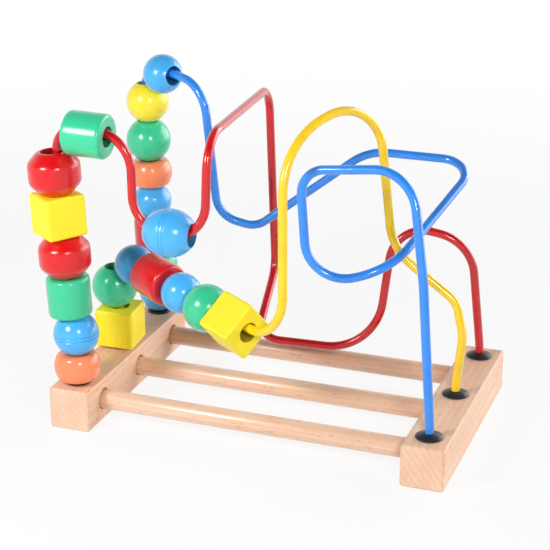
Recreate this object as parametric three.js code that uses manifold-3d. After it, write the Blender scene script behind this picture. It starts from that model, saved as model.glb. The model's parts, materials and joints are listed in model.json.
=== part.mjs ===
import * as THREE from "three";
import { mergeVertices } from "three/addons/utils/BufferGeometryUtils.js";
import Module from "manifold-3d";

// Bead maze toy: two beech end blocks joined by three dowels, and three bent wires with wooden beads.
// Millimetres. X runs along the dowels, Y from the front to the back, Z up from the underside.

// Clearance between pieces that touch
const GAP = 0.3;

// End blocks
const BLOCK_WIDTH = 30;
const BLOCK_HEIGHT = 30.5;
const BLOCK_LENGTH = 174;
const BLOCK_SPACING = 255;
const BLOCK_EDGE = 2;

// Dowels that join the blocks, lying in slightly larger blind bores
const DOWEL_DIAMETER = 14;
const DOWEL_BORE = 15.4;
const DOWEL_DEPTH = 8.5;
const DOWEL_SPACING = 61.5;
const DOWEL_HEIGHT = 15.5;
const DOWEL_CHAMFER = 1;

// Coated wires and the domed collars where they enter the blocks
const WIRE_DIAMETER = 6.2;
const WIRE_DEPTH = 20;
const WIRE_SPACING = 70;
const FOOT_HEIGHT = 8;
const FOOT_RADIUS = 60;
const COLLAR_DIAMETER = 18.5;
const COLLAR_RISE = 4;
const COLLAR_RIM = 1;
const COLLAR_SHANK = 10;
const COLLAR_DEPTH = 9;

// Bead sizes
const BORE = 14;
const WIDE_BORE = 16;
const BLUE_BALL = 29;
const YELLOW_BALL = 32;
const GREEN_BALL = 33.5;
const RINGED_BALL = 32;
const OVAL_BALL = 33;
const OVAL_LENGTH = 38;
const FLAT_BALL = 32.5;
const FLAT_LENGTH = 22;
const ROLLER_DIAMETER = 30.5;
const ROLLER_LENGTH = 28.5;
const ROLLER_EDGE = 3;
const DRUM_DIAMETER = 36;
const DRUM_LENGTH = 29.5;
const DRUM_BAND = 14;
const DRUM_END = 22;
const CUBE_SIZE = 29;
const CUBE_EDGE = 2;
const RING_PITCH = 2.6;
const RING_WIDTH = 1.4;
const RING_DEPTH = 0.7;

// Where beads stop at the bends of their wires, and the extra room where a bend turns two beads apart
const ARCH_BEAD_BACK = 19;
const SLOPE_BEADS_BACK = 6.6;
const TOP_BEAD_AHEAD = 19;
const BEND_ROOM = 0.6;

// Corners of the wires with the bend radius at each: x, y, z, radius
const PEAK_HEIGHT = 242;
const RED_BENDS = [
  [-136.5, -WIRE_SPACING, 216, 16],
  [-81.5, -WIRE_SPACING, 215.5, 26],
  [-81, -WIRE_SPACING, 148.5, 25],
  [-29.5, -WIRE_SPACING, 148.5, 25],
  [-26.5, -WIRE_SPACING, 218.5, 23],
  [-42.5, 88, 213, 20],
  [-37.5, 88, 72, 22],
  [-32.5, 34, 36, 17],
  [55.5, 46, 33, 40],
  [63.5, 62, 129, 25],
  [118.5, 69, 118, 32],
];
const YELLOW_BENDS = [
  [-126, -2, 105, 13],
  [32.5, -90, 88, 26],
  [23, -64, 219.5, 52],
  [65.5, 2, PEAK_HEIGHT, 36],
  [77, 8, 129, 38],
  [123.5, 8, 96, 19],
  [130.5, 2, 74, 25],
];
const BLUE_BENDS = [
  [-134.5, WIRE_SPACING, 227.5, 18],
  [-75, 40, 222.5, 25],
  [-65.5, 42, 125, 22],
  [-38.5, 50, 117, 17],
  [38, 76, 175.5, 40],
  [119, 78, 175, 20],
  [87, -35, 128.5, 43],
  [34, -45, 115.5, 26],
  [28, -45, 195.5, 18],
  [105, -50, 205.5, 29],
  [119.5, -68, 137, 53],
];

// Fineness of the round surfaces
const WIRE_SIDES = 8;
const BEND_STEP = 14;
const BEAD_SIDES = 16;
const ROUND_STEPS = 8;
const BORE_SIDES = 20;
const EDGE_STEPS = 2;

const wasm = await Module();
wasm.setup();

// Turns a closed geometry into a solid for boolean work.
function solidOf(geometry) {
  const bare = geometry.clone();
  bare.deleteAttribute("normal");
  bare.deleteAttribute("uv");
  const merged = mergeVertices(bare, 1e-4);
  const vertProperties = merged.attributes.position.array;
  const triVerts = new Uint32Array(merged.index.array);
  return new wasm.Manifold(new wasm.Mesh({ numProp: 3, vertProperties, triVerts }));
}

// Turns a solid back into a geometry.
function geometryOf(solid) {
  const mesh = solid.getMesh();
  const geometry = new THREE.BufferGeometry();
  geometry.setAttribute("position", new THREE.BufferAttribute(mesh.vertProperties, 3));
  geometry.setIndex(new THREE.BufferAttribute(mesh.triVerts, 1));
  geometry.computeVertexNormals();
  return geometry;
}

// Takes the cutters away from a geometry.
function cut(geometry, cutters) {
  let solid = solidOf(geometry);
  for (const cutter of cutters) {
    solid = solid.subtract(solidOf(cutter));
  }
  return geometryOf(solid);
}

// A rectangle with rounded corners.
function roundedRectangle(width, height, radius) {
  const x = width / 2 - radius;
  const y = height / 2 - radius;
  const shape = new THREE.Shape();
  shape.absarc(x, y, radius, 0, Math.PI / 2);
  shape.absarc(-x, y, radius, Math.PI / 2, Math.PI);
  shape.absarc(-x, -y, radius, Math.PI, 1.5 * Math.PI);
  shape.absarc(x, -y, radius, 1.5 * Math.PI, 2 * Math.PI);
  shape.closePath();
  return shape;
}

// A bar along Z with every edge rounded, centred on the origin.
function roundedBar(width, height, length, edge) {
  const bevel = 0.8 * edge;
  const bar = new THREE.ExtrudeGeometry(roundedRectangle(width, height, edge), {
    depth: length - 2 * bevel,
    curveSegments: EDGE_STEPS,
    bevelSegments: EDGE_STEPS,
    bevelThickness: bevel,
    bevelSize: bevel,
    bevelOffset: -bevel,
  });
  return bar.translate(0, 0, bevel - length / 2);
}

// A round pin along Z between two heights.
function pin(diameter, low, high, sides) {
  const round = new THREE.CylinderGeometry(diameter / 2, diameter / 2, high - low, sides);
  return round.rotateX(Math.PI / 2).translate(0, 0, (low + high) / 2);
}

// A turned ring along Z: the outer profile from low to high, closed by a straight bore.
function turned(outer, sides) {
  const points = outer.map(([radius, height]) => new THREE.Vector2(radius, height));
  points.push(points[0].clone());
  return new THREE.LatheGeometry(points, sides).rotateX(Math.PI / 2);
}

// One end block with blind bores for the dowels on its inner side and for the wires on top.
function block(side) {
  const bar = roundedBar(BLOCK_WIDTH, BLOCK_HEIGHT, BLOCK_LENGTH, BLOCK_EDGE);
  bar.rotateX(Math.PI / 2).translate(0, 0, BLOCK_HEIGHT / 2);
  const cutters = [];
  for (const row of [-1, 0, 1]) {
    const dowelBore = pin(DOWEL_BORE, BLOCK_WIDTH / 2 - DOWEL_DEPTH - GAP, BLOCK_WIDTH, BORE_SIDES);
    dowelBore.rotateY((-side * Math.PI) / 2);
    dowelBore.translate(0, row * DOWEL_SPACING, DOWEL_HEIGHT + (DOWEL_BORE - DOWEL_DIAMETER) / 2 - GAP);
    const shankFloor = BLOCK_HEIGHT - COLLAR_DEPTH - GAP;
    const shankBore = pin(COLLAR_SHANK + 2 * GAP, shankFloor, 2 * BLOCK_HEIGHT, BORE_SIDES);
    const wireFloor = BLOCK_HEIGHT - WIRE_DEPTH - GAP;
    const wireBore = pin(WIRE_DIAMETER + 2 * GAP, wireFloor, BLOCK_HEIGHT, BORE_SIDES);
    cutters.push(dowelBore);
    cutters.push(shankBore.translate(0, row * WIRE_SPACING, 0));
    cutters.push(wireBore.translate(0, row * WIRE_SPACING, 0));
  }
  return cut(bar, cutters).translate((side * BLOCK_SPACING) / 2, 0, 0);
}

// One dowel with chamfered ends.
function dowel(row) {
  const reach = BLOCK_SPACING / 2 - BLOCK_WIDTH / 2 + DOWEL_DEPTH;
  const radius = DOWEL_DIAMETER / 2;
  const points = [
    [0, -reach],
    [radius - DOWEL_CHAMFER, -reach],
    [radius, DOWEL_CHAMFER - reach],
    [radius, reach - DOWEL_CHAMFER],
    [radius - DOWEL_CHAMFER, reach],
    [0, reach],
  ];
  const round = new THREE.LatheGeometry(points.map(([x, y]) => new THREE.Vector2(x, y)), BORE_SIDES);
  return round.rotateZ(Math.PI / 2).translate(0, row * DOWEL_SPACING, DOWEL_HEIGHT);
}

// Height of a collar's dome over the block at a radius from the wire.
function domeHeight(radius) {
  const rim = COLLAR_DIAMETER / 2;
  const rise = COLLAR_RISE - COLLAR_RIM;
  const curve = (rim * rim + rise * rise) / (2 * rise);
  return COLLAR_RISE - curve + Math.sqrt(curve * curve - radius * radius);
}

// A domed collar with a shank that sits in the block.
function collar(side, row) {
  const bore = WIRE_DIAMETER / 2 + GAP;
  const rim = COLLAR_DIAMETER / 2;
  const outer = [
    [bore, -COLLAR_DEPTH],
    [COLLAR_SHANK / 2, -COLLAR_DEPTH],
    [COLLAR_SHANK / 2, GAP],
    [rim, GAP],
  ];
  for (let k = 0; k <= EDGE_STEPS + 1; k += 1) {
    const radius = rim + ((bore - rim) * k) / (EDGE_STEPS + 1);
    outer.push([radius, domeHeight(radius)]);
  }
  return turned(outer, BEAD_SIDES).translate((side * BLOCK_SPACING) / 2, row * WIRE_SPACING, BLOCK_HEIGHT);
}

// Centre line of a bent wire: straight runs joined by an arc at each corner.
class WireLine extends THREE.Curve {
  constructor(startRow, bends) {
    super();
    this.runs = [];
    this.arcs = [];
    this.rings = [0];
    this.reach = 0;
    const low = BLOCK_HEIGHT - WIRE_DEPTH;
    const high = BLOCK_HEIGHT + FOOT_HEIGHT;
    const start = [-BLOCK_SPACING / 2, startRow * WIRE_SPACING];
    const end = [BLOCK_SPACING / 2, -startRow * WIRE_SPACING];
    const bent = [[...start, high, FOOT_RADIUS], ...bends, [...end, high, FOOT_RADIUS]];
    const corners = [...bent, [...end, low]].map(([x, y, z]) => new THREE.Vector3(x, y, z));
    let from = new THREE.Vector3(...start, low);
    bent.forEach((bend, i) => {
      from = this.addBend(from, corners[i], corners[i + 1], bend[3]);
    });
    this.addRun(from, corners.at(-1));
  }

  // The arc at a corner of the list of bends, with the bends at the feet left out.
  bend(index) {
    return this.arcs[index + 1];
  }

  // Adds a straight run.
  addRun(from, to) {
    const direction = to.clone().sub(from);
    const length = direction.length();
    direction.normalize();
    const place = (distance) => from.clone().addScaledVector(direction, distance);
    const heading = () => direction.clone();
    this.runs.push({ start: this.reach, length, place, heading });
    this.reach += length;
    this.rings.push(this.reach);
  }

  // Adds the run up to a corner and the arc round it, and returns where the arc ends.
  addBend(from, corner, next, radius) {
    const back = from.clone().sub(corner).normalize();
    const ahead = next.clone().sub(corner).normalize();
    const half = back.angleTo(ahead) / 2;
    const inset = radius / Math.tan(half);
    const entry = corner.clone().addScaledVector(back, inset);
    this.addRun(from, entry);
    const centre = back.clone().add(ahead).normalize().multiplyScalar(radius / Math.sin(half)).add(corner);
    const spoke = entry.clone().sub(centre);
    const lead = back.clone().multiplyScalar(-radius);
    const length = radius * (Math.PI - 2 * half);
    const place = (distance) => {
      const turn = distance / radius;
      return centre.clone().addScaledVector(spoke, Math.cos(turn)).addScaledVector(lead, Math.sin(turn));
    };
    const heading = (distance) => {
      const turn = distance / radius;
      const direction = lead.clone().multiplyScalar(Math.cos(turn));
      return direction.addScaledVector(spoke, -Math.sin(turn)).normalize();
    };
    this.arcs.push({ start: this.reach, end: this.reach + length });
    this.runs.push({ start: this.reach, length, place, heading });
    const steps = Math.ceil(THREE.MathUtils.radToDeg(length / radius) / BEND_STEP);
    for (let k = 1; k <= steps; k += 1) {
      this.rings.push(this.reach + (length * k) / steps);
    }
    this.reach += length;
    return corner.clone().addScaledVector(ahead, inset);
  }

  // The run or arc at a distance along the wire.
  runAt(distance) {
    return this.runs.find((run) => distance <= run.start + run.length) ?? this.runs.at(-1);
  }

  // The point at a distance along the wire.
  pointAlong(distance) {
    const run = this.runAt(distance);
    return run.place(distance - run.start);
  }

  // The direction at a distance along the wire.
  headingAlong(distance) {
    const run = this.runAt(distance);
    return run.heading(distance - run.start);
  }

  // The distance of a ring, counted as a share of all the rings.
  ringDistance(share) {
    return this.rings[Math.round(share * (this.rings.length - 1))];
  }

  getPointAt(share) {
    return this.pointAlong(this.ringDistance(share));
  }

  getTangentAt(share) {
    return this.headingAlong(this.ringDistance(share));
  }
}

// The round tube of a wire.
function tube(line) {
  const section = new THREE.Shape();
  for (let k = 0; k < WIRE_SIDES; k += 1) {
    const angle = (2 * Math.PI * k) / WIRE_SIDES;
    const x = (WIRE_DIAMETER / 2) * Math.cos(angle);
    const y = (WIRE_DIAMETER / 2) * Math.sin(angle);
    if (k === 0) section.moveTo(x, y);
    else section.lineTo(x, y);
  }
  section.closePath();
  return new THREE.ExtrudeGeometry(section, { steps: line.rings.length - 1, extrudePath: line });
}

// A ball, flat or long when its length over the poles differs from its diameter.
function ball(diameter, length = diameter, bore = BORE) {
  const lift = Math.acos(bore / diameter);
  const outer = [];
  for (let k = 0; k <= ROUND_STEPS; k += 1) {
    const angle = lift * ((2 * k) / ROUND_STEPS - 1);
    outer.push([(diameter / 2) * Math.cos(angle), (length / 2) * Math.sin(angle)]);
  }
  return { geometry: turned(outer, BEAD_SIDES), half: outer[ROUND_STEPS][1], bore };
}

// A ball with a pair of grooves turned round its middle.
function ringedBall(diameter, length) {
  const bore = WIDE_BORE;
  const lift = Math.acos(bore / diameter);
  const radiusAt = (height) => (diameter / 2) * Math.sqrt(1 - (2 * height / length) ** 2);
  const half = (length / 2) * Math.sin(lift);
  const above = [];
  for (const [shift, depth] of [[-0.5, 0], [0, RING_DEPTH], [0.5, 0]]) {
    const height = RING_PITCH / 2 + shift * RING_WIDTH;
    above.push([radiusAt(height) - depth, height]);
  }
  for (let k = 1; k <= ROUND_STEPS / 2; k += 1) {
    const angle = lift * (0.15 + (0.85 * 2 * k) / ROUND_STEPS);
    above.push([(diameter / 2) * Math.cos(angle), (length / 2) * Math.sin(angle)]);
  }
  const below = above.map(([radius, height]) => [radius, -height]).reverse();
  return { geometry: turned([...below, ...above], BEAD_SIDES), half, bore };
}

// A turned bead whose upper half is given from the middle to the end.
function mirrored(upper, bore) {
  const half = upper.at(-1)[1];
  const lower = upper.map(([radius, height]) => [radius, -height]).reverse();
  const outer = [[bore / 2, -half], ...lower, ...upper, [bore / 2, half]];
  return { geometry: turned(outer, BEAD_SIDES), half, bore };
}

// A cylinder with rounded ends.
function roller() {
  const radius = ROLLER_DIAMETER / 2 - ROLLER_EDGE;
  const height = ROLLER_LENGTH / 2 - ROLLER_EDGE;
  const upper = [];
  for (let k = 0; k <= EDGE_STEPS; k += 1) {
    const angle = (Math.PI * k) / (2 * EDGE_STEPS);
    upper.push([radius + ROLLER_EDGE * Math.cos(angle), height + ROLLER_EDGE * Math.sin(angle)]);
  }
  return mirrored(upper, BORE);
}

// A drum: a straight band with a wide bevel above and below.
function drum() {
  const upper = [
    [DRUM_DIAMETER / 2, DRUM_BAND / 2 - 1],
    [DRUM_DIAMETER / 2 - 0.6, DRUM_BAND / 2 + 0.4],
    [DRUM_END / 2 + 0.8, DRUM_LENGTH / 2 - 0.9],
    [DRUM_END / 2 - 0.6, DRUM_LENGTH / 2],
  ];
  return mirrored(upper, WIDE_BORE);
}

// A cube with rounded edges and a round bore.
function cube() {
  const bar = roundedBar(CUBE_SIZE, CUBE_SIZE, CUBE_SIZE, CUBE_EDGE);
  const half = CUBE_SIZE / 2;
  return { geometry: cut(bar, [pin(BORE, -CUBE_SIZE, CUBE_SIZE, BEAD_SIDES)]), half, bore: BORE };
}

// How far a bead can move across the wire until its bore is the clearance away from the wire's surface.
function slackToward(line, distance, bead, centre, axis, way) {
  const clear = (bead.bore / 2) * Math.cos(Math.PI / BEAD_SIDES) - GAP;
  let least = bead.bore;
  for (let k = -12; k <= 12; k += 1) {
    const place = distance + (bead.half * k) / 8;
    const heading = line.headingAlong(place);
    const side = new THREE.Vector3(0, 1, 0).projectOnPlane(heading).setLength(WIRE_DIAMETER / 2);
    for (let corner = 0; corner < WIRE_SIDES; corner += 1) {
      side.applyAxisAngle(heading, (2 * Math.PI) / WIRE_SIDES);
      const off = line.pointAlong(place).add(side).sub(centre);
      if (Math.abs(off.dot(axis)) > bead.half + GAP) continue;
      const along = off.projectOnPlane(axis).dot(way);
      const across = Math.max(0, off.lengthSq() - along * along);
      least = Math.min(least, along + Math.sqrt(Math.max(0, clear * clear - across)));
    }
  }
  return least;
}

// Puts a bead on its wire, let down or moved aside inside its bore, and turned about the wire.
function thread(line, distance, bead, { lean, spin = 0, square = false }) {
  const from = line.pointAlong(distance - bead.half);
  const to = line.pointAlong(distance + bead.half);
  const axis = square ? line.headingAlong(distance - bead.half) : to.clone().sub(from).normalize();
  const middle = from.clone().add(to).multiplyScalar(0.5);
  const centre = square ? from.addScaledVector(axis, bead.half) : middle;
  if (lean) {
    const way = new THREE.Vector3(...lean).projectOnPlane(axis);
    const share = Math.min(1, way.length());
    way.normalize();
    centre.addScaledVector(way, share * slackToward(line, distance, bead, centre, axis, way));
  }
  const across = new THREE.Vector3(0, 1, 0).projectOnPlane(axis).normalize();
  const basis = new THREE.Matrix4().makeBasis(across, axis.clone().cross(across), axis).setPosition(centre);
  bead.geometry.rotateZ(THREE.MathUtils.degToRad(spin)).applyMatrix4(basis);
}

const RED = 0xec2b33;
const YELLOW = 0xf7e23a;
const BLUE = 0x4da6f2;
const GREEN = 0x3fba80;
const ORANGE = 0xff9166;
const BEECH = 0xe9c09a;
const BLACK = 0x26262b;

const LACQUER = { roughness: 0.25, metalness: 0 };
const WOOD = { roughness: 0.6, metalness: 0 };
const COATING = { roughness: 0.35, metalness: 0 };
const PLASTIC = { roughness: 0.4, metalness: 0 };

const toy = new THREE.Group();
toy.name = "bead_maze";

// Adds one named piece to the toy.
function add(name, geometry, color, finish) {
  const mesh = new THREE.Mesh(geometry, new THREE.MeshStandardMaterial({ color, ...finish }));
  mesh.name = name;
  toy.add(mesh);
}

// Threads beads one after the other along a wire, starting at a distance.
function string(line, start, beads) {
  let distance = start;
  for (const [name, color, bead, seat = {}] of beads) {
    thread(line, distance + bead.half, bead, seat);
    add(name, bead.geometry, color, LACQUER);
    distance += 2 * bead.half + GAP + (seat.room ?? 0);
  }
}

add("left_block", block(-1), BEECH, WOOD);
add("right_block", block(1), BEECH, WOOD);
add("front_dowel", dowel(-1), BEECH, WOOD);
add("middle_dowel", dowel(0), BEECH, WOOD);
add("rear_dowel", dowel(1), BEECH, WOOD);

const SIDES = [["left", -1], ["right", 1]];
const ROWS = [["front", -1], ["middle", 0], ["rear", 1]];
for (const [sideName, side] of SIDES) {
  for (const [rowName, row] of ROWS) {
    add(`${sideName}_${rowName}_collar`, collar(side, row), BLACK, PLASTIC);
  }
}

const redLine = new WireLine(-1, RED_BENDS);
const yellowLine = new WireLine(0, YELLOW_BENDS);
const blueLine = new WireLine(1, BLUE_BENDS);
add("red_wire", tube(redLine), RED, COATING);
add("yellow_wire", tube(yellowLine), YELLOW, COATING);
add("blue_wire", tube(blueLine), BLUE, COATING);

// The lowest bead of a post rests on the dome of its collar.
const postStart = WIRE_DEPTH + domeHeight(BORE / 2) + GAP;
const DOWN = [0, 0, -1];

string(redLine, postStart, [
  ["front_orange_bead", ORANGE, ball(FLAT_BALL, FLAT_LENGTH)],
  ["front_blue_bead", BLUE, ringedBall(RINGED_BALL, RINGED_BALL), { lean: [0.3, 0, 0] }],
  ["front_green_bead", GREEN, roller(), { lean: [-0.4, 0, 0] }],
  ["front_lower_red_bead", RED, drum(), { lean: [-0.4, 0, 0] }],
  ["front_yellow_cube", YELLOW, cube(), { lean: [-1, 0, 0], spin: 53 }],
  ["front_upper_red_bead", RED, drum(), { lean: [-0.8, 0, 0] }],
]);
string(redLine, redLine.bend(1).start - ARCH_BEAD_BACK, [
  ["arch_green_bead", GREEN, roller(), { lean: DOWN }],
]);
const valley = ringedBall(OVAL_BALL, OVAL_LENGTH);
const valleyMiddle = (redLine.bend(2).end + redLine.bend(3).start) / 2;
string(redLine, valleyMiddle - valley.half, [["valley_blue_bead", BLUE, valley, { lean: DOWN }]]);

string(yellowLine, postStart, [
  ["middle_yellow_cube", YELLOW, cube(), { spin: 4 }],
  ["middle_green_bead", GREEN, ball(GREEN_BALL), { lean: [-1, 0, 0] }],
]);
string(yellowLine, yellowLine.bend(0).end - SLOPE_BEADS_BACK, [
  ["slope_upper_blue_bead", BLUE, ball(BLUE_BALL), { lean: DOWN, room: BEND_ROOM }],
  ["slope_red_bead", RED, roller(), { lean: DOWN }],
  ["slope_lower_blue_bead", BLUE, ball(BLUE_BALL), { lean: DOWN }],
  ["slope_green_bead", GREEN, ball(GREEN_BALL), { lean: DOWN }],
  ["slope_yellow_cube", YELLOW, cube(), { lean: DOWN, spin: 44 }],
]);

string(blueLine, postStart, [
  ["rear_lower_blue_bead", BLUE, ball(BLUE_BALL)],
  ["rear_lower_green_bead", GREEN, ball(FLAT_BALL, FLAT_LENGTH)],
  ["rear_red_bead", RED, roller()],
  ["rear_middle_blue_bead", BLUE, ball(BLUE_BALL)],
  ["rear_orange_bead", ORANGE, ball(FLAT_BALL, FLAT_LENGTH)],
  ["rear_upper_green_bead", GREEN, ball(GREEN_BALL)],
  ["rear_yellow_bead", YELLOW, ball(YELLOW_BALL), { lean: [0.5, -0.3, 0], square: true }],
]);
string(blueLine, blueLine.bend(0).start + TOP_BEAD_AHEAD, [
  ["rear_top_blue_bead", BLUE, ball(BLUE_BALL), { lean: DOWN }],
]);

// The frame stands on the underside, in the middle of the whole toy seen from above.
const box = new THREE.Box3().setFromObject(toy);
const origin = box.getCenter(new THREE.Vector3());
for (const mesh of toy.children) {
  mesh.geometry.translate(-origin.x, -origin.y, -box.min.z);
}

export default toy;
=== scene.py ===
"""Looks of a wooden bead maze: beech base, coated wires and lacquered beads on the frame."""

import json
import logging
import math
from collections.abc import Mapping, Sequence
from dataclasses import dataclass
from enum import Enum
from operator import attrgetter
from typing import Any

import bmesh
import bpy
import numpy as np
from mathutils import Matrix, Vector

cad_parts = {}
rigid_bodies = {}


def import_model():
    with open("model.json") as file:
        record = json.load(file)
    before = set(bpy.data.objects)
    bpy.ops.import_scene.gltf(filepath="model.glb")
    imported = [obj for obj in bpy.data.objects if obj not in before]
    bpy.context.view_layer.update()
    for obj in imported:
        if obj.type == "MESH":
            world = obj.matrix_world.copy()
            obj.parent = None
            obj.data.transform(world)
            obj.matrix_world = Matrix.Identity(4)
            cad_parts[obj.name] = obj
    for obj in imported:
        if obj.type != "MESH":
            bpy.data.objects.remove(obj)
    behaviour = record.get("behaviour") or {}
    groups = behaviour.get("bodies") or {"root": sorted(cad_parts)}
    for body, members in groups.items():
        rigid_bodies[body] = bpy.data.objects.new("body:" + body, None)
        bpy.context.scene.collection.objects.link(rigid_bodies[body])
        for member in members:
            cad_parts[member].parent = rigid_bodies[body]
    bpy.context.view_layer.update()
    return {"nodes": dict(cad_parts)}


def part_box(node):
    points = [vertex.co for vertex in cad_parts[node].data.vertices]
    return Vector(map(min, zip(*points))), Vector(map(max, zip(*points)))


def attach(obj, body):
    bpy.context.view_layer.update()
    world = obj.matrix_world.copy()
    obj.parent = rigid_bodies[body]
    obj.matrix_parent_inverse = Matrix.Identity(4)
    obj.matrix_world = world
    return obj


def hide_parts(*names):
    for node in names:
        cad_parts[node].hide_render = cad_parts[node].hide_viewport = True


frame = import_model()

LOG = logging.getLogger("bead_maze")
MM = 0.001
BASE_BODY = "base"

# Fineness of the meshes
TURNED_SIDES = 96
WIRE_SIDES = 24
WIRE_DEGREES = 3.0
WIRE_LEAST = 0.05
ARC_STEPS = 28
SOFT_STEPS = 5
BEVEL_STEPS = 5
SHARP_ANGLE = math.radians(38)

# How a bead's seat is read from its CAD mesh
WELD_DIGITS = 6
SIDE_LIMIT = 0.1

# The screen's colour curve
SCREEN_KNEE = 0.04045
SCREEN_SLOPE = 12.92
SCREEN_OFFSET = 0.055
SCREEN_POWER = 2.4

# Sockets of the colour Mix node by place, because their names repeat
MIX_SHARE, MIX_FIRST, MIX_SECOND, MIX_RESULT = 0, 6, 7, 2
NOISE_ROUGHNESS = 0.55

Colour = tuple[float, float, float, float]
WHITE: Colour = (1.0, 1.0, 1.0, 1.0)


def linear(code: int, shade: float = 1.0) -> Colour:
    """Turns a screen colour into the linear colour that a shader takes.

    Args:
        code: The colour as six hexadecimal digits.
        shade: A factor on the linear colour, below 1 for a darker one.

    Returns:
        The linear colour with full opacity.
    """
    levels = []
    for shift in (16, 8, 0):
        share = ((code >> shift) & 255) / 255
        if share <= SCREEN_KNEE:
            levels.append(shade * share / SCREEN_SLOPE)
        else:
            levels.append(shade * ((share + SCREEN_OFFSET) / (1 + SCREEN_OFFSET)) ** SCREEN_POWER)
    return (levels[0], levels[1], levels[2], 1.0)


class Term:
    """One output in a material's nodes, with operators that add Math nodes."""

    def __init__(self, sheet: "Sheet", maker: bpy.types.Node, output: str | int) -> None:
        """Wraps one output of a node.

        Args:
            sheet: The sheet that the node is on.
            maker: The node.
            output: The output, by name or place.
        """
        self.sheet = sheet
        self.maker = maker
        self.output = output

    @property
    def socket(self) -> bpy.types.NodeSocket:
        """The output socket itself."""
        return self.maker.outputs[self.output]

    def sister(self, output: str) -> "Term":
        """Another output of the same node."""
        return Term(self.sheet, self.maker, output)

    def combine(self, operation: str, *values: "Term | float") -> "Term":
        """Adds a Math node on the values, in their order."""
        return self.sheet.node("ShaderNodeMath", {"operation": operation}, dict(enumerate(values)))

    def __add__(self, other: "Term | float") -> "Term":
        """Adds a value to this one."""
        return self.combine("ADD", self, other)

    def __radd__(self, other: float) -> "Term":
        """Adds this value to a number."""
        return self.combine("ADD", other, self)

    def __sub__(self, other: "Term | float") -> "Term":
        """Takes a value from this one."""
        return self.combine("SUBTRACT", self, other)

    def __rsub__(self, other: float) -> "Term":
        """Takes this value from a number."""
        return self.combine("SUBTRACT", other, self)

    def __mul__(self, other: "Term | float") -> "Term":
        """Multiplies this value."""
        return self.combine("MULTIPLY", self, other)

    def __rmul__(self, other: float) -> "Term":
        """Multiplies a number by this value."""
        return self.combine("MULTIPLY", other, self)

    def __pow__(self, other: "Term | float") -> "Term":
        """Raises this value to a power."""
        return self.combine("POWER", self, other)

    def about(self, level: float, swing: float) -> "Term":
        """A value that swings about a level as this one goes from 0 to 1."""
        return level - swing / 2 + swing * self

    def between(self, low: float, high: float) -> "Term":
        """Rises smoothly from 0 at the low value to 1 at the high one."""
        sockets = {"Value": self, "From Min": low, "From Max": high}
        return self.sheet.node("ShaderNodeMapRange", {"interpolation_type": "SMOOTHSTEP"}, sockets)

    def stretched(self, factors: Sequence[float]) -> "Term":
        """Multiplies a vector by a factor for each axis."""
        sockets = {0: self, 1: tuple(factors)}
        return self.sheet.node("ShaderNodeVectorMath", {"operation": "MULTIPLY"}, sockets)


class Sheet:
    """The nodes of one material or world."""

    def __init__(self, tree: bpy.types.NodeTree) -> None:
        """Starts with an empty tree."""
        self.tree = tree
        self.tree.nodes.clear()

    def node(
        self,
        kind: str,
        settings: Mapping[str, Any] | None = None,
        sockets: Mapping[str | int, Any] | None = None,
        output: str | int = 0,
    ) -> Term:
        """Adds a node.

        Args:
            kind: The node's type.
            settings: Its properties, set before the sockets.
            sockets: Values or terms for its inputs, by name or place.
            output: The output that is wanted, by name or place.

        Returns:
            That output as a term.
        """
        made = self.tree.nodes.new(kind)
        for name, value in (settings or {}).items():
            setattr(made, name, value)
        for name, value in (sockets or {}).items():
            if isinstance(value, Term):
                self.tree.links.new(value.socket, made.inputs[name])
            else:
                made.inputs[name].default_value = value
        return Term(self, made, output)

    def place(self) -> Term:
        """The point on the surface, in the piece's own axes and metres."""
        return self.node("ShaderNodeTexCoord", output="Object")

    def noise(self, place: Term, waves: Sequence[float], detail: float = 2.0) -> Term:
        """Adds noise stretched by a number of waves for each metre and axis.

        Args:
            place: The point on the surface.
            waves: Waves for each metre along x, y and z.
            detail: How many finer layers the noise has.

        Returns:
            The noise, from 0 to 1.
        """
        return self.node("ShaderNodeTexNoise", None, {
            "Vector": place.stretched(waves),
            "Scale": 1.0,
            "Detail": detail,
            "Roughness": NOISE_ROUGHNESS,
        })

    def mix(self, share: Term | float, first: Term | Colour, second: Term | Colour) -> Term:
        """Mixes two colours, with the second one's share given."""
        sockets = {MIX_SHARE: share, MIX_FIRST: first, MIX_SECOND: second}
        return self.node("ShaderNodeMix", {"data_type": "RGBA"}, sockets, MIX_RESULT)

    def relief(self, height: Term, depth: float) -> Term:
        """Turns a height into a bumped normal, with the depth in metres."""
        sockets = {"Strength": 1.0, "Distance": depth, "Height": height}
        return self.node("ShaderNodeBump", None, sockets)

    def surface(self, sockets: Mapping[str, Any]) -> None:
        """Ends a material with the main shader and its values."""
        shader = self.node("ShaderNodeBsdfPrincipled", None, sockets)
        self.node("ShaderNodeOutputMaterial", None, {"Surface": shader})


def new_sheet(name: str) -> tuple[bpy.types.Material, Sheet]:
    """Makes an empty material.

    Args:
        name: The material's name.

    Returns:
        The material and the sheet of its nodes.
    """
    material = bpy.data.materials.new(name)
    material.use_nodes = True
    return material, Sheet(material.node_tree)


class Paint(Enum):
    """The colours of the beads and wires."""

    RED = 0xDA0913
    YELLOW = 0xFFEB36
    BLUE = 0x49B4F8
    GREEN = 0x38C994
    ORANGE = 0xFF8F5F

    @property
    def word(self) -> str:
        """The colour's name in lower case."""
        return self.name.lower()


class Grain(Enum):
    """The axis that the wood's fibres follow."""

    ALONG_X = 0
    ALONG_Y = 1


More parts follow.
